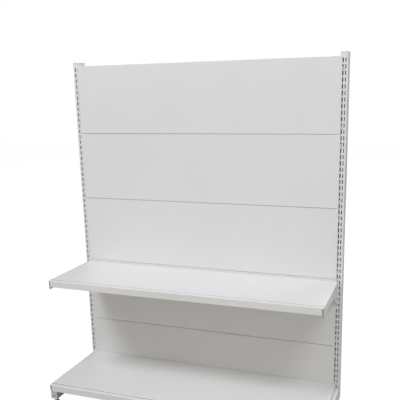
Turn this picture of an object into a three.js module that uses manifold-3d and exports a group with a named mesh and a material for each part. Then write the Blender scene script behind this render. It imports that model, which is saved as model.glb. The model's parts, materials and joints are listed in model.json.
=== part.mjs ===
// Single-sided gondola shelving bay: two slotted uprights, five hook-on back
// panels, a base shelf on two feet, one bracketed upper shelf and four
// levelling feet. Millimetres, +Z up. The front of the bay faces -Y, X runs
// across the bay, and the origin is on the floor at the centre of the
// bay's bounding box.
import * as THREE from 'three';
import { mergeVertices } from 'three/addons/utils/BufferGeometryUtils.js';
import Module from 'manifold-3d';

const wasm = await Module();
wasm.setup();

// ---------------------------------------------------------------- dimensions
const BAY = 1200;              // centre to centre of the uprights
const UP_W = 30;               // upright width
const UP_D = 50;               // upright depth
const UP_T = 2;                // upright wall
const UP_BOTTOM = 25;          // underside of an upright above the floor
const UP_TOP = 1497;           // top of the tube, under its cap
const HEIGHT = 1500;           // top of the caps
const PITCH = 25;              // slot pitch
const SLOT_TOP = 1468.5;       // centre of the highest slot
const SLOT_N = 58;             // slots in a column
const SLOT_W = 4.0;            // slot width
const SLOT_H = 16;             // slot height
const COL = 5;                 // slot column either side of the upright's centre
const Y_SHIFT = 170;           // moves the upright's front face from 0 to its place

const PANEL_TOP = 1484;        // top of the highest back panel
const PANEL_H = [300, 300, 300, 300, 190];
const PANEL_HALF = 592.5;        // half width of a panel
const PANEL_PROUD = 6;         // panel front ahead of the upright's front face
const PANEL_T = 1.2;
const PANEL_GAP = 1.8;         // seam between two panels
const PANEL_HOOKS = [[1, 10], [13, 22], [25, 34], [40, 46], [49, 54]];

const SHELF_HALF = 598.5;      // half width of a shelf deck
const LIP_HALF = 590;          // half width of a shelf's front lip
const SHELF_T = 1.25;
const LIP_H = 30;
const UPPER_Z = 573.5;         // top of the upper shelf
const UPPER_D = 338;           // its front face ahead of the uprights
const BASE_Z = 107;            // top of the base shelf
const BASE_D = 390;
const SHELF_BACK = 7.5;        // back of a shelf ahead of the uprights

const FOOT_Z0 = 24, FOOT_Z1 = 89, FOOT_T = 2, FOOT_D = 362;
const BRACKET_T = 2.8;
const BRACKET_HOOKS = [37, 38, 39];

const LEV_R = 4.85;            // levelling stud radius
const LEV_HOLE = 5.35;
const LEV_FRONT_Y = -345, LEV_REAR_Y = 25;
const PAD_R = 15;

// ------------------------------------------------------------------- helpers
function solid(geometry) {
  const g = geometry.clone();
  g.deleteAttribute('normal');
  g.deleteAttribute('uv');
  const m = mergeVertices(g, 1e-4);
  return new wasm.Manifold(new wasm.Mesh({
    numProp: 3,
    vertProperties: new Float32Array(m.attributes.position.array),
    triVerts: new Uint32Array(m.index.array),
  }));
}
function box(x0, x1, y0, y1, z0, z1) {
  const g = new THREE.BoxGeometry(x1 - x0, y1 - y0, z1 - z0);
  g.translate((x0 + x1) / 2, (y0 + y1) / 2, (z0 + z1) / 2);
  return solid(g);
}
// A profile in (y, z) carried along X.
function alongX(points, x0, x1) {
  const s = new THREE.Shape(points.map(([y, z]) => new THREE.Vector2(y, z)));
  const g = new THREE.ExtrudeGeometry(s, { depth: x1 - x0, bevelEnabled: false, steps: 1 });
  g.applyMatrix4(new THREE.Matrix4().set(
    0, 0, 1, x0,
    1, 0, 0, 0,
    0, 1, 0, 0,
    0, 0, 0, 1));
  return solid(g);
}
function cylinder(r, h, sides, axis, x, y, z) {
  const g = new THREE.CylinderGeometry(r, r, h, sides);
  if (axis === 'z') g.rotateX(Math.PI / 2);
  if (axis === 'x') g.rotateZ(Math.PI / 2);
  g.translate(x, y, z);
  return solid(g);
}
// A closed turned shape about Z from (r, z) points that start and end on the axis.
function turned(points, sides, x, y) {
  const g = new THREE.LatheGeometry(points.map(([r, z]) => new THREE.Vector2(r, z)), sides);
  g.rotateX(Math.PI / 2);
  g.translate(x, y, 0);
  return solid(g);
}
const join = (list) => list.reduce((a, b) => a.add(b));
const cut = (a, list) => list.reduce((r, b) => r.subtract(b), a);

const slotZ = (j) => SLOT_TOP - PITCH * j;

const COLOURS = {
  powder: { color: 0xd6d7d8, roughness: 0.45, metalness: 0.0 },
  cap: { color: 0xcfd0d1, roughness: 0.55, metalness: 0.0 },
  zinc: { color: 0xa9adb0, roughness: 0.35, metalness: 0.9 },
  pad: { color: 0x2b2c2e, roughness: 0.7, metalness: 0.0 },
};
const bay = new THREE.Group();
bay.position.set(0, Y_SHIFT, 0);
function place(name, manifold, kind, x = 0) {
  const m = manifold.getMesh();
  const n = m.numProp;
  const pos = new Float32Array(m.vertProperties.length / n * 3);
  for (let i = 0; i < pos.length / 3; i++) {
    pos[3 * i] = m.vertProperties[n * i];
    pos[3 * i + 1] = m.vertProperties[n * i + 1];
    pos[3 * i + 2] = m.vertProperties[n * i + 2];
  }
  const g = new THREE.BufferGeometry();
  g.setAttribute('position', new THREE.BufferAttribute(pos, 3));
  g.setIndex(new THREE.BufferAttribute(new Uint32Array(m.triVerts), 1));
  g.computeVertexNormals();
  const mesh = new THREE.Mesh(g, new THREE.MeshStandardMaterial(COLOURS[kind]));
  mesh.name = name;
  mesh.position.x = x;
  bay.add(mesh);
}

// A hook that passes a slot in the upright's front wall and turns down behind
// it: x0..x1 is its thickness, y0 is where it starts in front of the wall.
const HOOK_TOP = -0.7, HOOK_REST = -7.7, HOOK_NOSE = -13.7, HOOK_BACK = 7.4;
function hook(x0, x1, y0, z) {
  return alongX([
    [y0, z + HOOK_TOP], [y0, z + HOOK_REST], [2.5, z + HOOK_REST],
    [2.5, z + HOOK_NOSE], [5.4, z + HOOK_NOSE], [HOOK_BACK, z + HOOK_NOSE + 3],
    [HOOK_BACK, z + HOOK_TOP - 2], [HOOK_BACK - 2, z + HOOK_TOP],
  ].reverse(), x0, x1);
}

// ------------------------------------------------------------------ uprights
function upright() {
  const h = UP_W / 2;
  let u = box(-h, h, 0, UP_D, UP_BOTTOM, UP_TOP)
    .subtract(box(-h + UP_T, h - UP_T, UP_T, UP_D - UP_T, UP_BOTTOM - 1, UP_TOP + 1));
  const cuts = [];
  for (let j = 0; j < SLOT_N; j++) {
    for (const c of [-COL, COL]) {
      const z = slotZ(j);
      // one slot in the front wall and one behind it in the rear wall
      cuts.push(box(c - SLOT_W / 2, c + SLOT_W / 2, -1, UP_T + 1, z - SLOT_H / 2, z + SLOT_H / 2));
      cuts.push(box(c - SLOT_W / 2, c + SLOT_W / 2, UP_D - UP_T - 1, UP_D + 1, z - SLOT_H / 2, z + SLOT_H / 2));
    }
  }
  u = cut(u, cuts);
  // bolt hole for the base foot
  u = u.subtract(cylinder(3.4, 6, 12, 'y', 0, 1, 56));
  return u;
}
place('left_upright', upright(), 'powder', -BAY / 2);
place('right_upright', upright(), 'powder', BAY / 2);

function uprightCap() {
  const h = UP_W / 2;
  const plate = box(-h, h, 0, UP_D, UP_TOP + 0.3, HEIGHT);
  const skirt = box(-h + UP_T + 0.4, h - UP_T - 0.4, UP_T + 0.4, UP_D - UP_T - 0.4, 1482, UP_TOP + 1)
    .subtract(box(-h + UP_T + 2.2, h - UP_T - 2.2, UP_T + 2.2, UP_D - UP_T - 2.2, 1480, UP_TOP));
  return plate.add(skirt);
}
place('left_upright_cap', uprightCap(), 'cap', -BAY / 2);
place('right_upright_cap', uprightCap(), 'cap', BAY / 2);

// -------------------------------------------------------------- back panels
// Each panel is a folded tray: a front skin ahead of the uprights, top and
// bottom flanges folded back between them, and four hooks in the inner slots.
let zTop = PANEL_TOP;
PANEL_H.forEach((ph, k) => {
  const z1 = zTop - PANEL_GAP / 2, z0 = zTop - ph + PANEL_GAP / 2;
  const yf = -PANEL_PROUD, t = PANEL_T, fx = BAY / 2 - UP_W / 2 - 2;
  const pieces = [
    box(-PANEL_HALF, PANEL_HALF, yf, yf + t, z0, z1),
    box(-PANEL_HALF, -PANEL_HALF + t, yf + t / 2, -0.4, z0, z1),
    box(PANEL_HALF - t, PANEL_HALF, yf + t / 2, -0.4, z0, z1),
    box(-fx, fx, yf + t / 2, 9, z1 - t, z1),
    box(-fx, fx, yf + t / 2, 9, z0, z0 + t),
    box(-fx, fx, 9 - t, 9, z1 - 9, z1),
    box(-fx, fx, 9 - t, 9, z0, z0 + 9),
  ];
  for (const j of PANEL_HOOKS[k]) {
    const z = slotZ(j);
    for (const s of [-1, 1]) {
      const xc = s * (BAY / 2 - COL);
      pieces.push(hook(xc - 1, xc + 1, -1.5, z));
      pieces.push(box(Math.min(xc - s * 3.5, xc + s * 1), Math.max(xc - s * 3.5, xc + s * 1),
        yf + t / 2, -0.4, z + HOOK_REST, z + HOOK_TOP));
    }
  }
  place(`back_panel_${k + 1}`, join(pieces), 'powder');
  zTop -= ph;
});

// ---------------------------------------------------------------- base feet
function foot() {
  const h = UP_W / 2;
  let f = box(-h, h, -FOOT_D, -2.7, FOOT_Z0, FOOT_Z1)
    .subtract(box(-h + FOOT_T, h - FOOT_T, -FOOT_D - 1, 0, FOOT_Z0 + FOOT_T, FOOT_Z1 - FOOT_T));
  return f.subtract(cylinder(LEV_HOLE, 8, 16, 'z', 0, LEV_FRONT_Y, FOOT_Z0));
}
function footEndPlate() {
  const h = UP_W / 2;
  const cuts = [];
  for (const z of [37.5, 62.5]) {
    for (const c of [-COL, COL]) {
      cuts.push(box(c - SLOT_W / 2, c + SLOT_W / 2, -FOOT_D - 5, -FOOT_D + 2, z - SLOT_H / 2, z + SLOT_H / 2));
    }
  }
  return cut(box(-h, h, -FOOT_D - 2.3, -FOOT_D - 0.3, FOOT_Z0, FOOT_Z1), cuts);
}
function footHookPlate() {
  const h = UP_W / 2;
  const list = [box(-h, h, -2.4, -0.4, FOOT_Z0 + 1, FOOT_Z1)];
  for (const j of [56, 57]) {
    for (const c of [-COL, COL]) list.push(hook(c - 1.2, c + 1.2, -1.4, slotZ(j)));
  }
  return join(list).subtract(cylinder(3.4, 8, 12, 'y', 0, 0, 56));
}
function footBolt() {
  return cylinder(6.2, 4.2, 6, 'y', 0, -4.8, 56).add(cylinder(3, 14, 12, 'y', 0, 4, 56));
}
// Threaded inserts for the levelling studs: one welded in an upright's open
// end, one welded inside a foot.
function uprightInsert() {
  const h = UP_W / 2 - UP_T - 0.3;
  return box(-h, h, UP_T + 0.3, UP_D - UP_T - 0.3, UP_BOTTOM + 0.2, UP_BOTTOM + 4.2)
    .add(cylinder(9.8, 8, 6, 'z', 0, LEV_REAR_Y, UP_BOTTOM + 8))
    .subtract(cylinder(LEV_HOLE, 30, 16, 'z', 0, LEV_REAR_Y, UP_BOTTOM + 5));
}
function footInsert() {
  return cylinder(9.8, 8, 6, 'z', 0, LEV_FRONT_Y, FOOT_Z0 + FOOT_T + 4.3)
    .subtract(cylinder(LEV_HOLE, 20, 16, 'z', 0, LEV_FRONT_Y, FOOT_Z0 + FOOT_T + 4.3));
}
for (const [side, s] of [['left', -1], ['right', 1]]) {
  const x = s * BAY / 2;
  place(`${side}_base_foot`, foot(), 'powder', x);
  place(`${side}_foot_end_plate`, footEndPlate(), 'powder', x);
  place(`${side}_foot_hook_plate`, footHookPlate(), 'powder', x);
  place(`${side}_foot_bolt`, footBolt(), 'zinc', x);
  place(`${side}_foot_thread_insert`, footInsert(), 'zinc', x);
  place(`${side}_upright_thread_insert`, uprightInsert(), 'zinc', x);
}

// ----------------------------------------------------------- levelling feet
function lockNut(y, zTopOfNut) {
  return cylinder(9.8, 8, 6, 'z', 0, y, zTopOfNut - 4)
    .subtract(cylinder(LEV_HOLE, 12, 16, 'z', 0, y, zTopOfNut - 4));
}
for (const [where, y] of [['front', LEV_FRONT_Y], ['rear', LEV_REAR_Y]]) {
  for (const [side, s] of [['left', -1], ['right', 1]]) {
    const x = s * BAY / 2;
    place(`${where}_${side}_leveller_nut`, lockNut(y, (where === 'front' ? FOOT_Z0 : UP_BOTTOM) - 0.3), 'zinc', x);
    place(`${where}_${side}_leveller_pad`, turned([
      [0, 0], [PAD_R, 0], [PAD_R, 2.8], [13.9, 4.4], [10.6, 8], [9.7, 9], [6.5, 9], [6.5, 3], [0, 3],
    ], 24, 0, y), 'pad', x);
    place(`${where}_${side}_leveller_stud`, turned([
      [0, 3.3], [6.1, 3.3], [6.1, 7], [LEV_R, 8.5], [LEV_R, 57], [3.9, 58], [0, 58],
    ], 16, 0, y), 'zinc', x);
  }
}

// -------------------------------------------------------------------- shelves
// A shelf is a folded tray: deck, front lip with a rounded edge and a return
// flange, a shallow bead behind the front edge, a back flange and two sides.
function shelf(zt, d, sideH) {
  const t = SHELF_T, yf = -d, yb = -SHELF_BACK, zl = zt - LIP_H, zb = zt - sideH;
  const outer = alongX([
    [yb, zb], [yb, zt],
    [yf + 16.75, zt], [yf + 15.5, zt - 1.75], [yf + 14.5, zt - 1.75], [yf + 13.25, zt],
    [yf + 3, zt], [yf + 1.5, zt - 0.5], [yf + 0.5, zt - 1.5], [yf, zt - 3],
    [yf, zl], [yf + 12, zl], [yf + 12, zb],
  ], -SHELF_HALF, SHELF_HALF);
  const hollow = alongX([
    [yb - t, zl + t], [yb - t, zt - t],
    [yf + 17.25, zt - t], [yf + 16, zt - t - 1.75], [yf + 14, zt - t - 1.75], [yf + 12.75, zt - t],
    [yf + 3, zt - t], [yf + t, zt - 3], [yf + t, zl + t],
  ], -SHELF_HALF + t, SHELF_HALF - t);
  let s = outer.subtract(hollow);
  for (const e of [-1, 1]) {
    // the lip stops short of the deck's ends, where a bracket's nose stands
    const a = e * LIP_HALF, b = e * (SHELF_HALF + 1), c = e * (SHELF_HALF - t);
    s = s.subtract(box(Math.min(a, c), Math.max(a, c), yf - 1, yf + 13, zl - 1, zt - 3.5));
    s = s.subtract(box(Math.min(a, b), Math.max(a, b), yf - 1, yf + 2, zl - 1, zt - 3.5));
  }
  return s;
}
function stiffener(zt, yc, half) {
  const t = 1.2, z = zt - SHELF_T - 0.3, h = 20;
  return alongX([
    [yc - 32, z], [yc - 32, z - t], [yc - 16 - t, z - t], [yc - 13 - t, z - h], [yc + 13 + t, z - h],
    [yc + 16 + t, z - t], [yc + 32, z - t], [yc + 32, z], [yc + 16, z], [yc + 13, z - h + t],
    [yc - 13, z - h + t], [yc - 16, z],
  ], -half, half);
}
place('base_shelf', shelf(BASE_Z, BASE_D, BASE_Z - FOOT_Z1 - 0.25), 'powder');
place('base_shelf_stiffener', stiffener(BASE_Z, -200, 560), 'powder');
place('upper_shelf', shelf(UPPER_Z, UPPER_D, 28), 'powder');
place('upper_shelf_stiffener', stiffener(UPPER_Z, -175, 560), 'powder');

// ------------------------------------------------------------ shelf brackets
function bracket() {
  const zt = UPPER_Z - SHELF_T - 0.4, h = BRACKET_T / 2;
  const plate = alongX([
    [-0.5, zt], [-319, zt], [-320.5, zt - 2.2], [-326, zt - 2.2], [-327.5, zt], [-333.5, zt], [-335.5, 569.4], [-337, 569.2], [-337, 533], [-130, 530.5], [-95, 526], [-60, 514], [-30, 492],
    [-10, 474.5], [-0.5, 473.5],
  ], -h, h);
  const list = [plate];
  for (const j of BRACKET_HOOKS) list.push(hook(-1.2, 1.2, -2, slotZ(j)));
  // the shelf's back flange hangs in a notch behind the bracket's top edge
  return join(list).subtract(box(-3, 3, -9.6, -6.4, UPPER_Z - 29, zt + 1));
}
place('left_shelf_bracket', bracket(), 'powder', -BAY / 2 + COL);
place('right_shelf_bracket', bracket(), 'powder', BAY / 2 - COL);

export default bay;
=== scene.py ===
# Looks for the gondola shelving bay: every CAD node is rebuilt as a finely
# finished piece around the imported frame, then lit in a plain studio.
import json
import math

import bmesh
import bpy
from mathutils import Matrix, Vector


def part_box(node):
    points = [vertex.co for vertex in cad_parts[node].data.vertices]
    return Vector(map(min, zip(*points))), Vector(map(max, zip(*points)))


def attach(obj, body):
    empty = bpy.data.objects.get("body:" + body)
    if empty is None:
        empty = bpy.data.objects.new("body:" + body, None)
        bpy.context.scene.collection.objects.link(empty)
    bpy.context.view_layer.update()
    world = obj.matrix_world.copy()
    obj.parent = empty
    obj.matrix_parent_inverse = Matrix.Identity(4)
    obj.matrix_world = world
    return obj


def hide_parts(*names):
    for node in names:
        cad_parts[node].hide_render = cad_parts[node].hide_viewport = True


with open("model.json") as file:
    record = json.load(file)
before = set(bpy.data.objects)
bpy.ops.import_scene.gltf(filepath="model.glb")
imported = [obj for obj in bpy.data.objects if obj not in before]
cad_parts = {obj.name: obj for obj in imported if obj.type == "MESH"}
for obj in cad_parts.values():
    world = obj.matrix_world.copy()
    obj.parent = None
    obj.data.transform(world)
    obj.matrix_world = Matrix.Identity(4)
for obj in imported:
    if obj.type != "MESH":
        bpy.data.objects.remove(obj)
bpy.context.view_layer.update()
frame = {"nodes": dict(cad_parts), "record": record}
nodes = frame["nodes"]
bodies = frame["record"]["behaviour"]["bodies"]
BODY_OF = {n: b for b, names in bodies.items() for n in names}
SLOT_OF = {s["node"]: s["material_slot"] for s in frame["record"]["subparts"]}
scene = bpy.context.scene


# ------------------------------------------------------------------ materials
class Nodes:
    """A thin wrapper that keeps node graphs readable."""

    def __init__(self, name):
        self.mat = bpy.data.materials.new(name)
        self.mat.use_nodes = True
        self.tree = self.mat.node_tree
        self.bsdf = self.tree.nodes["Principled BSDF"]
        self.coord = self.add("ShaderNodeTexCoord").outputs["Object"]

    def add(self, kind, **settings):
        n = self.tree.nodes.new(kind)
        for k, v in settings.items():
            setattr(n, k, v)
        return n

    def link(self, a, b):
        self.tree.links.new(a, b)

    def stretched(self, x, y, z):
        m = self.add("ShaderNodeMapping")
        m.inputs["Scale"].default_value = (x, y, z)
        self.link(self.coord, m.inputs["Vector"])
        return m.outputs["Vector"]

    def noise(self, scale, detail=3.0, rough=0.5, vector=None):
        n = self.add("ShaderNodeTexNoise")
        n.inputs["Scale"].default_value = scale
        n.inputs["Detail"].default_value = detail
        n.inputs["Roughness"].default_value = rough
        self.link(vector or self.coord, n.inputs["Vector"])
        return n.outputs["Fac"]

    def voronoi(self, scale, feature="SMOOTH_F1"):
        n = self.add("ShaderNodeTexVoronoi", feature=feature)
        n.inputs["Scale"].default_value = scale
        self.link(self.coord, n.inputs["Vector"])
        return n.outputs["Distance"]

    def remap(self, value, a, b, c, d):
        n = self.add("ShaderNodeMapRange")
        self.link(value, n.inputs["Value"])
        for k, v in zip(("From Min", "From Max", "To Min", "To Max"), (a, b, c, d)):
            n.inputs[k].default_value = v
        return n.outputs["Result"]

    def maths(self, op, a, b=None):
        n = self.add("ShaderNodeMath", operation=op)
        for i, v in enumerate((a, b)):
            if v is None:
                continue
            if isinstance(v, (int, float)):
                n.inputs[i].default_value = v
            else:
                self.link(v, n.inputs[i])
        return n.outputs[0]

    def mix(self, factor, a, b):
        n = self.add("ShaderNodeMix", data_type="RGBA")
        if isinstance(factor, (int, float)):
            n.inputs[0].default_value = factor
        else:
            self.link(factor, n.inputs[0])
        for i, v in ((6, a), (7, b)):
            if isinstance(v, (tuple, list)):
                n.inputs[i].default_value = (*v[:3], 1.0)
            else:
                self.link(v, n.inputs[i])
        return n.outputs[2]

    def bump(self, height, distance, strength, under=None):
        n = self.add("ShaderNodeBump")
        n.inputs["Strength"].default_value = strength
        n.inputs["Distance"].default_value = distance
        self.link(height, n.inputs["Height"])
        if under is not None:
            self.link(under, n.inputs["Normal"])
        return n.outputs["Normal"]

    def finish(self, colour, rough, normal, metallic=0.0):
        self.link(colour, self.bsdf.inputs["Base Color"])
        self.link(rough, self.bsdf.inputs["Roughness"])
        self.link(normal, self.bsdf.inputs["Normal"])
        self.bsdf.inputs["Metallic"].default_value = metallic
        return self.mat


def powder_coat(name, light, dark, handled=0.0):
    """Satin polyester powder: fine orange peel, faint clouding, a little dust
    and handling dulling, and bare-looking rubbed edges on handled pieces."""
    m = Nodes(name)
    cloud = m.noise(2.3, 4.0, 0.55)
    fine = m.noise(60.0, 3.0, 0.6)
    base = m.mix(m.remap(cloud, 0.3, 0.7, 0.0, 1.0), dark, light)
    speck = m.remap(m.noise(900.0, 2.0, 0.5), 0.70, 0.80, 0.0, 0.10)
    base = m.mix(speck, base, tuple(c * 0.72 for c in dark))
    if handled:
        # thin scuffs along the runs that goods are slid over
        streak = m.noise(1.0, 5.0, 0.6, m.stretched(9.0, 260.0, 260.0))
        scuff = m.remap(streak, 0.66, 0.78, 0.0, handled)
        base = m.mix(scuff, base, tuple(c * 0.86 for c in dark))
    geometry = m.add("ShaderNodeNewGeometry")
    edge = m.remap(geometry.outputs["Pointiness"], 0.53, 0.62, 0.0, 0.35)
    base = m.mix(edge, base, tuple(min(1.0, c * 1.08) for c in light))
    rough = m.maths("ADD", m.remap(cloud, 0.3, 0.7, 0.36, 0.43), m.remap(fine, 0.3, 0.7, -0.02, 0.03))
    peel = m.maths("ADD", m.noise(420.0, 2.0, 0.45), m.maths("MULTIPLY", m.voronoi(1400.0), 0.35))
    normal = m.bump(peel, 0.00006, 0.55)
    normal = m.bump(m.noise(5.0, 2.0, 0.4), 0.0009, 0.25, normal)
    m.bsdf.inputs["Specular IOR Level"].default_value = 0.42
    return m.finish(base, rough, normal)


def moulded(name, light, dark, grain, rough_lo, rough_hi):
    """Moulded plastic with an eroded texture and flow clouding."""
    m = Nodes(name)
    cloud = m.noise(30.0, 4.0, 0.6)
    base = m.mix(m.remap(cloud, 0.3, 0.7, 0.0, 1.0), dark, light)
    rough = m.remap(m.noise(120.0, 3.0, 0.6), 0.3, 0.7, rough_lo, rough_hi)
    texture = m.maths("ADD", m.noise(grain, 3.0, 0.6), m.maths("MULTIPLY", m.voronoi(grain * 1.6), 0.4))
    normal = m.bump(texture, 0.00008, 0.7)
    return m.finish(base, rough, normal)


def zinc_plate(name):
    """Bright zinc plate over turned and rolled steel: crystalline clouding,
    fine turning lines and duller patches."""
    m = Nodes(name)
    cell = m.voronoi(420.0, "F1")
    cloud = m.noise(45.0, 4.0, 0.6)
    base = m.mix(m.remap(cloud, 0.3, 0.7, 0.0, 1.0), (0.50, 0.51, 0.52), (0.68, 0.69, 0.68))
    base = m.mix(m.remap(cell, 0.0, 0.6, 0.25, 0.0), base, (0.78, 0.76, 0.70))
    rough = m.maths("ADD", m.remap(cloud, 0.3, 0.7, 0.26, 0.44), m.remap(cell, 0.0, 0.7, 0.0, 0.08))
    lines = m.noise(1.0, 2.0, 0.5, m.stretched(60.0, 60.0, 2600.0))
    normal = m.bump(lines, 0.00003, 0.6)
    return m.finish(base, rough, normal, 1.0)


def bare_steel_painted_shade(name):
    """Unpainted rolled strip inside a tube, dull and oily; its near-black colour is painted shade for the dark
    inside of the tube and its slots.
    """
    m = Nodes(name)
    cloud = m.noise(14.0, 4.0, 0.6, m.stretched(3.0, 3.0, 0.6))
    base = m.mix(m.remap(cloud, 0.3, 0.7, 0.0, 1.0), (0.020, 0.020, 0.021), (0.040, 0.039, 0.038))
    rough = m.remap(m.noise(80.0, 3.0, 0.6), 0.3, 0.7, 0.55, 0.72)
    normal = m.bump(m.noise(1.0, 3.0, 0.5, m.stretched(700.0, 700.0, 30.0)), 0.00004, 0.5)
    return m.finish(base, rough, normal, 0.25)


PAINT_LIGHT, PAINT_DARK = (0.778, 0.777, 0.792), (0.748, 0.747, 0.760)
PAINT = {
    "panel": powder_coat("panel_powder", PAINT_LIGHT, PAINT_DARK),
    "deck": powder_coat("deck_powder", (0.784, 0.778, 0.768), (0.754, 0.748, 0.738), 0.22),
    "post": powder_coat("post_powder", PAINT_LIGHT, PAINT_DARK, 0.10),
    # a dark powder whose colour is painted shade for grooves, seams and slits
    "bead": powder_coat("bead_powder_dusty", (0.34, 0.335, 0.32), (0.27, 0.265, 0.25), 0.25),
    "small": powder_coat("bracket_powder", PAINT_LIGHT, PAINT_DARK, 0.12),
}
PLASTIC = {
    "cap": moulded("cap_plastic", (0.74, 0.74, 0.735), (0.69, 0.69, 0.685), 900.0, 0.42, 0.55),
    "pad": moulded("leveller_plastic", (0.040, 0.041, 0.044), (0.022, 0.022, 0.025), 1100.0, 0.5, 0.68),
}
ZINC = zinc_plate("zinc_plate")
# near-black steel: real unpainted inside, darkened further as painted shade
BARE_AND_SHADE = bare_steel_painted_shade("bare_inside_painted_shade")


def material_for(node):
    if node.endswith("_cap"):
        return PLASTIC["cap"]
    if node.endswith("_pad"):
        return PLASTIC["pad"]
    if SLOT_OF[node] == "zinc_plated_steel":
        return ZINC
    if "shelf" in node and "bracket" not in node:
        return PAINT["deck"]
    if node.startswith("back_panel"):
        return PAINT["panel"]
    if node.endswith("_upright"):
        return PAINT["post"]
    return PAINT["small"]


# --------------------------------------------------------------------- pieces
def adopt(obj, node, material=None):
    if material is not None:
        obj.data.materials.clear()
        obj.data.materials.append(material)
    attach(obj, BODY_OF[node])
    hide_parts(node)
    return obj


def mesh_object(name, bm):
    me = bpy.data.meshes.new(name)
    bm.to_mesh(me)
    bm.free()
    obj = bpy.data.objects.new(name, me)
    scene.collection.objects.link(obj)
    return obj


def apply(obj, mod):
    """Applies a bevel: its own strips are shaded smooth, flat faces stay flat."""
    spare = len(obj.data.materials) or 1
    while len(obj.data.materials) <= spare:
        obj.data.materials.append(PAINT["small"])
    mod.material = spare
    for o in bpy.context.selected_objects:
        o.select_set(False)
    bpy.context.view_layer.objects.active = obj
    obj.select_set(True)
    bpy.ops.object.modifier_apply(modifier=mod.name)
    obj.select_set(False)
    for p in obj.data.polygons:
        strip = p.material_index == spare
        p.use_smooth = strip
        if strip:
            p.material_index = 0
    obj.data.materials.pop(index=spare)


def refined(node, width, segments=2, angle=28.0):
    """The node's own shape with its bent and cut edges eased to a radius."""
    bm = bmesh.new()
    bm.from_mesh(nodes[node].data)
    bmesh.ops.remove_doubles(bm, verts=bm.verts, dist=2e-6)
    bmesh.ops.dissolve_limit(
        bm, angle_limit=math.radians(0.6), verts=bm.verts, edges=bm.edges,
        delimit=set())
    bmesh.ops.recalc_face_normals(bm, faces=bm.faces)
    for f in bm.faces:
        f.smooth = True
    for e in bm.edges:
        e.smooth = True
    obj = mesh_object(node + "_finish", bm)
    mod = obj.modifiers.new("eased_edges", "BEVEL")
    mod.width = width
    mod.segments = segments
    mod.limit_method = "ANGLE"
    mod.angle_limit = math.radians(angle)
    mod.use_clamp_overlap = True
    mod.miter_outer = "MITER_ARC"
    apply(obj, mod)
    return adopt(obj, node, material_for(node))


def lattice(node, xs, ys, zs, solid, corner, small, corner_r, inside=None):
    """A shape made of the filled cells of an uneven grid, with its outer
    corners rounded and every other edge slightly eased."""
    bm = bmesh.new()
    verts = {}

    def v(i, j, k):
        if (i, j, k) not in verts:
            verts[i, j, k] = bm.verts.new((xs[i], ys[j], zs[k]))
        return verts[i, j, k]

    nx, ny, nz = len(xs) - 1, len(ys) - 1, len(zs) - 1

    def filled(i, j, k):
        return 0 <= i < nx and 0 <= j < ny and 0 <= k < nz and solid(i, j, k)

    for i in range(nx):
        for j in range(ny):
            for k in range(nz):
                if not solid(i, j, k):
                    continue
                if not filled(i - 1, j, k):
                    bm.faces.new((v(i, j, k), v(i, j, k + 1), v(i, j + 1, k + 1), v(i, j + 1, k)))
                if not filled(i + 1, j, k):
                    bm.faces.new((v(i + 1, j, k), v(i + 1, j + 1, k), v(i + 1, j + 1, k + 1), v(i + 1, j, k + 1)))
                if not filled(i, j - 1, k):
                    bm.faces.new((v(i, j, k), v(i + 1, j, k), v(i + 1, j, k + 1), v(i, j, k + 1)))
                if not filled(i, j + 1, k):
                    bm.faces.new((v(i, j + 1, k), v(i, j + 1, k + 1), v(i + 1, j + 1, k + 1), v(i + 1, j + 1, k)))
                if not filled(i, j, k - 1):
                    bm.faces.new((v(i, j, k), v(i, j + 1, k), v(i + 1, j + 1, k), v(i + 1, j, k)))
                if not filled(i, j, k + 1):
                    bm.faces.new((v(i, j, k + 1), v(i + 1, j, k + 1), v(i + 1, j + 1, k + 1), v(i, j + 1, k + 1)))
    bmesh.ops.recalc_face_normals(bm, faces=bm.faces)
    weight = bm.edges.layers.float.new("bevel_weight_edge")
    for e in bm.edges:
        if len(e.link_faces) == 2 and e.calc_face_angle(0.0) > 0.5:
            e[weight] = 1.0 if corner(e.verts[0].co, e.verts[1].co) else small / corner_r
    for f in bm.faces:
        f.smooth = True
        f.material_index = inside(f.calc_center_median(), f.normal) if inside else 0
    obj = mesh_object(node + "_finish", bm)
    # the near-black second material is painted shade inside the tube and on its slot walls
    for mat in (material_for(node), BARE_AND_SHADE, PAINT["bead"]) if inside else (material_for(node),):
        obj.data.materials.append(mat)
    mod = obj.modifiers.new("eased_edges", "BEVEL")
    mod.width = corner_r
    mod.segments = 3
    mod.limit_method = "WEIGHT"
    mod.use_clamp_overlap = True
    apply(obj, mod)
    return adopt(obj, node)


SLOT_W, SLOT_H, SLOT_TOP, SLOT_PITCH, SLOT_N, COLUMN = 0.0040, 0.016, 1.4685, 0.025, 58, 0.005


def slot_rows(centres, lo, hi):
    zs = [lo]
    for c in sorted(centres):
        zs += [c - SLOT_H / 2, c + SLOT_H / 2]
    return zs + [hi]


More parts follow.
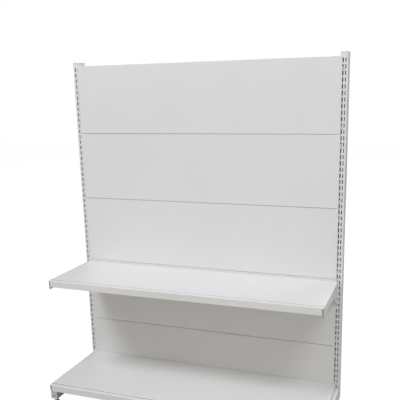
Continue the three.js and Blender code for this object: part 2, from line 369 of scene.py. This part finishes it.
def slotted_upright(node):
    """A rectangular tube with twin slot columns in its front and back walls."""
    lo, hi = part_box(node)
    cx, t = (lo.x + hi.x) / 2, 0.002
    w = SLOT_W / 2
    xs = [lo.x, lo.x + t, cx - COLUMN - w, cx - COLUMN + w, cx + COLUMN - w, cx + COLUMN + w, hi.x - t, hi.x]
    ys = [lo.y, lo.y + t, hi.y - t, hi.y]
    zs = slot_rows([SLOT_TOP - SLOT_PITCH * j for j in range(SLOT_N)], lo.z, hi.z)

    def solid(i, j, k):
        if i in (0, 6):
            return True
        if j == 1:
            return False
        return not (i in (2, 4) and k % 2 == 1)

    def corner(a, b):
        return abs(a.z - b.z) > 1e-4 and (abs(a.x - lo.x) < 1e-5 or abs(a.x - hi.x) < 1e-5) and (
            abs(a.y - lo.y) < 1e-5 or abs(a.y - hi.y) < 1e-5)

    def inside(c, n):
        if abs(c.x - cx) > 0.0131 or c.z < lo.z + 1e-4 or c.z > hi.z - 1e-4:
            return 0
        if lo.y + t - 1e-5 < c.y < hi.y - t + 1e-5:
            return 1
        # the cut walls of the slots get the near-black paint too: painted shade in the slots
        return 1 if abs(n.y) < 0.5 else 0

    return lattice(node, xs, ys, zs, solid, corner, 0.00022, 0.0015, inside)


def slotted_plate(node):
    lo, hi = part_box(node)
    cx, w = (lo.x + hi.x) / 2, SLOT_W / 2
    xs = [lo.x, cx - COLUMN - w, cx - COLUMN + w, cx + COLUMN - w, cx + COLUMN + w, hi.x]
    zs = slot_rows([0.0375, 0.0625], lo.z, hi.z)
    return lattice(node, xs, [lo.y, hi.y], zs, lambda i, j, k: not (i in (1, 3) and k % 2 == 1),
                   lambda a, b: False, 0.00025, 0.001)


def threaded_stud(node):
    """A levelling stud: rolled thread, chamfered tip, ball end in the pad."""
    lo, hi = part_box(node)
    cx, cy = (lo.x + hi.x) / 2, (lo.y + hi.y) / 2
    crest, root, pitch = 0.00482, 0.00408, 0.0015
    foot_r = (hi.x - lo.x) / 2
    z_thread, z_end = lo.z + 0.0058, hi.z
    bm = bmesh.new()
    sides = 36
    rings = []

    def ring(radius_at, z):
        row = []
        for i in range(sides):
            a = 2 * math.pi * i / sides
            r = radius_at(i / sides)
            row.append(bm.verts.new((cx + r * math.cos(a), cy + r * math.sin(a), z)))
        rings.append(row)

    for r, z in ((foot_r - 0.0012, lo.z), (foot_r - 0.0002, lo.z + 0.0008),
                 (foot_r - 0.0002, lo.z + 0.0032), (foot_r - 0.0014, lo.z + 0.0040),
                 (root, lo.z + 0.0046)):
        ring(lambda _, r=r: r, z)
    steps = int(round((z_end - 0.0008 - z_thread) / (pitch / 7)))
    for k in range(steps + 1):
        z = z_thread + (z_end - 0.0008 - z_thread) * k / steps
        fade = min(1.0, (z - z_thread) / 0.0015, max(0.0, (z_end - 0.0008 - z) / 0.0015))

        def radius(turn, z=z, fade=fade):
            p = (z / pitch - turn) % 1.0
            tri = 1.0 - abs(2.0 * p - 1.0)
            tri = min(1.0, max(0.0, (tri - 0.08) / 0.80))
            return root + (crest - root) * tri * fade

        ring(radius, z)
    ring(lambda _: root - 0.0007, z_end)
    for a, b in zip(rings, rings[1:]):
        for i in range(sides):
            j = (i + 1) % sides
            bm.faces.new((a[i], a[j], b[j], b[i])).smooth = True
    bm.faces.new(list(reversed(rings[0])))
    bm.faces.new(rings[-1])
    bmesh.ops.recalc_face_normals(bm, faces=bm.faces)
    return adopt(mesh_object(node + "_finish", bm), node, ZINC)


def levelling_pad(node):
    """A turned pad with a rolled rim, eight ribs and a socket for the stud."""
    lo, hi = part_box(node)
    cx, cy, r = (lo.x + hi.x) / 2, (lo.y + hi.y) / 2, (hi.x - lo.x) / 2
    h = hi.z - lo.z
    profile = [(0.0, 0.0), (r - 0.0011, 0.0), (r - 0.0003, 0.0003), (r, 0.0010), (r, 0.0022),
               (r - 0.0004, 0.0032), (r - 0.0014, 0.0040), (r - 0.0032, 0.0052), (r - 0.0042, 0.0066),
               (r - 0.0048, h - 0.0006), (r - 0.0053, h), (0.0072, h), (0.0066, h - 0.0006),
               (0.0065, 0.0032), (0.0, 0.0031)]
    bm = bmesh.new()
    sides = 64
    rows = []
    for pr, z in profile:
        if pr == 0.0:
            rows.append([bm.verts.new((cx, cy, lo.z + z))])
            continue
        row = []
        for i in range(sides):
            a = 2 * math.pi * i / sides
            ribbed = 0.0
            if 0.0035 < z < h - 0.0003 and pr > 0.0085:
                ribbed = -0.0006 * (0.5 + 0.5 * math.cos(16 * a)) ** 3
            row.append(bm.verts.new((cx + (pr + ribbed) * math.cos(a), cy + (pr + ribbed) * math.sin(a), lo.z + z)))
        rows.append(row)
    for a, b in zip(rows, rows[1:]):
        for i in range(sides):
            j = (i + 1) % sides
            if len(a) == 1:
                bm.faces.new((a[0], b[j], b[i]))
            elif len(b) == 1:
                bm.faces.new((a[i], a[j], b[0]))
            else:
                bm.faces.new((a[i], a[j], b[j], b[i]))
    for f in bm.faces:
        f.smooth = True
    bmesh.ops.recalc_face_normals(bm, faces=bm.faces)
    return adopt(mesh_object(node + "_finish", bm), node, PLASTIC["pad"])


def seam_tongue(panel, node):
    """A turned-down edge under the panel's lower flange, which closes the
    seam above the next panel so that no light comes through it; its dark
    colour is painted shade in the seam."""
    lo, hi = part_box(node)
    # the tongue gets the dark paint: painted shade in the seam
    panel.data.materials.append(PAINT["bead"])
    bm = bmesh.new()
    bm.from_mesh(panel.data)
    x0, x1 = lo.x + 0.010, hi.x - 0.010
    y0, y1 = lo.y + 0.0050, lo.y + 0.0058
    z0, z1 = lo.z - 0.0016, lo.z + 0.0006
    v = [bm.verts.new((x, y, z)) for z in (z0, z1) for y in (y0, y1) for x in (x0, x1)]
    for q in ((0, 2, 3, 1), (4, 5, 7, 6), (0, 1, 5, 4), (2, 6, 7, 3), (0, 4, 6, 2), (1, 3, 7, 5)):
        bm.faces.new([v[i] for i in q]).material_index = len(panel.data.materials) - 1
    bm.to_mesh(panel.data)
    bm.free()


for node in sorted(nodes):
    if node.endswith("_stud"):
        threaded_stud(node)
    elif node.endswith("_pad"):
        levelling_pad(node)
    elif node.endswith("_nut") or node.endswith("_bolt") or node.endswith("_insert"):
        refined(node, 0.0005, 3, 25.0)
    elif node.endswith("_cap"):
        refined(node, 0.0009, 3)
    elif node.endswith("_upright"):
        slotted_upright(node)
    elif node.endswith("_end_plate"):
        slotted_plate(node)
    elif node.endswith("_base_foot"):
        refined(node, 0.0009, 3)
    elif node.startswith("back_panel"):
        panel = refined(node, 0.00045, 2)
        if node != "back_panel_5":
            seam_tongue(panel, node)
    elif node.endswith("_shelf"):
        shelf = refined(node, 0.0005, 2, 18.0)
        # the groove along the front of the deck gets the dark paint: painted shade in the groove
        shelf.data.materials.append(PAINT["bead"])
        lo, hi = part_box(node)
        for p in shelf.data.polygons:
            c = p.center
            if lo.y + 0.0132 < c.y < lo.y + 0.0168 and hi.z - 0.0021 < c.z < hi.z - 0.0003 and p.normal.z > 0.2:
                p.material_index = 1
    elif node.endswith("_shelf_bracket"):
        bracket = refined(node, 0.0004, 2)
        bracket.data.materials.append(PAINT["bead"])
        lo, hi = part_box(node)
        for p in bracket.data.polygons:
            # the front of the nose gets the dark paint: painted shade that darkens the slit at the end of the lip
            if p.center.y < lo.y + 0.030 and p.normal.y < -0.3:
                p.material_index = 1
    else:
        refined(node, 0.0004, 2)

# --------------------------------------------------------------------- camera
cam_data = bpy.data.cameras.new("camera")
cam = bpy.data.objects.new("camera", cam_data)
scene.collection.objects.link(cam)
RIGHT = Vector((0.9401934879, 0.3400885305, -0.0193906340))
DOWN = Vector((0.0571420356, -0.2135777781, -0.9752534647))
AHEAD = Vector((-0.3358139262, 0.9158189363, -0.2202377871))
m = Matrix((RIGHT, -DOWN, -AHEAD)).transposed().to_4x4()
m.translation = Vector((0.9410, -2.2603, 1.3448))
cam.matrix_world = m
cam_data.sensor_width = 36.0
cam_data.lens = 53.915
cam_data.shift_x = -0.0353
cam_data.shift_y = 0.0763
cam_data.clip_end = 60.0
cam_data.dof.use_dof = False
scene.camera = cam

# --------------------------------------------------------------------- studio
floor_bm = bmesh.new()
S = 14.0
floor_bm.faces.new([floor_bm.verts.new(c) for c in ((-S, -S, 0), (S, -S, 0), (S, S, 0), (-S, S, 0))])
floor = mesh_object("studio_floor", floor_bm)
fm = Nodes("studio_floor")
tone = fm.mix(fm.remap(fm.noise(0.8, 2.0), 0.3, 0.7, 0.0, 1.0), (0.40, 0.39, 0.375), (0.43, 0.42, 0.405))
fm.link(tone, fm.bsdf.inputs["Base Color"])
fm.bsdf.inputs["Roughness"].default_value = 0.9
# seen directly the floor is lifted towards the white of the studio sweep
glow = fm.add("ShaderNodeEmission")
glow.inputs["Color"].default_value = (1, 1, 1, 1)
glow.inputs["Strength"].default_value = 1.60
seen_by = fm.add("ShaderNodeLightPath")
lift = fm.maths("MULTIPLY", seen_by.outputs["Is Camera Ray"], 0.60)
blend = fm.add("ShaderNodeMixShader")
fm.link(lift, blend.inputs[0])
fm.link(fm.bsdf.outputs[0], blend.inputs[1])
fm.link(glow.outputs[0], blend.inputs[2])
fm.link(blend.outputs[0], fm.tree.nodes["Material Output"].inputs["Surface"])
floor.data.materials.append(fm.mat)

world = bpy.data.worlds.new("studio")
scene.world = world
world.use_nodes = True
wt = world.node_tree
wt.nodes.clear()
out = wt.nodes.new("ShaderNodeOutputWorld")
fill = wt.nodes.new("ShaderNodeBackground")
fill.inputs["Color"].default_value = (1.0, 0.99, 0.965, 1)
fill.inputs["Strength"].default_value = 0.16
seen = wt.nodes.new("ShaderNodeBackground")
seen.inputs["Color"].default_value = (1, 1, 1, 1)
seen.inputs["Strength"].default_value = 1.0
path = wt.nodes.new("ShaderNodeLightPath")
mixer = wt.nodes.new("ShaderNodeMixShader")
wt.links.new(path.outputs["Is Camera Ray"], mixer.inputs[0])
wt.links.new(fill.outputs[0], mixer.inputs[1])
wt.links.new(seen.outputs[0], mixer.inputs[2])
wt.links.new(mixer.outputs[0], out.inputs["Surface"])


def softbox(name, place, aim, size, power, colour=(1, 1, 1)):
    data = bpy.data.lights.new(name, "AREA")
    data.shape = "RECTANGLE"
    data.size, data.size_y = size
    data.energy = power
    data.color = colour
    o = bpy.data.objects.new(name, data)
    scene.collection.objects.link(o)
    o.location = place
    o.rotation_euler = (Vector(aim) - Vector(place)).to_track_quat("-Z", "Y").to_euler()
    return o


softbox("key", (-2.4, -3.25, 5.65), (0.0, 0.0, 0.7), (2.0, 2.0), 214.0, (0.925, 0.955, 1.0))
softbox("right_key", (2.8, -3.3, 5.35), (0.0, 0.0, 0.7), (2.0, 2.0), 113.0, (0.925, 0.955, 1.0))
softbox("overhead", (0.0, -0.6, 4.2), (0.0, -0.3, 0.5), (2.4, 1.4), 5.0, (0.975, 0.985, 1.0))
softbox("low_front_fill", (0.0, -4.5, 0.9), (0.0, 0.0, 0.4), (3.0, 1.2), 17.0, (1.0, 0.85, 0.52))
softbox("right_side", (4.9, -1.2, 2.1), (0.3, 0.0, 1.0), (2.4, 2.6), 44.0, (0.985, 0.99, 1.0))
softbox("left_side", (-4.9, -1.7, 1.2), (-0.3, 0.0, 0.6), (2.4, 2.2), 24.0, (1.0, 0.98, 0.93))
softbox("back_fill", (0.8, 4.6, 3.2), (0.0, 0.0, 0.8), (3.2, 2.4), 150.0, (1.0, 1.0, 1.0))

scene.view_settings.view_transform = "Standard"
scene.view_settings.look = "None"
scene.view_settings.exposure = 0.0
scene.view_settings.gamma = 1.0
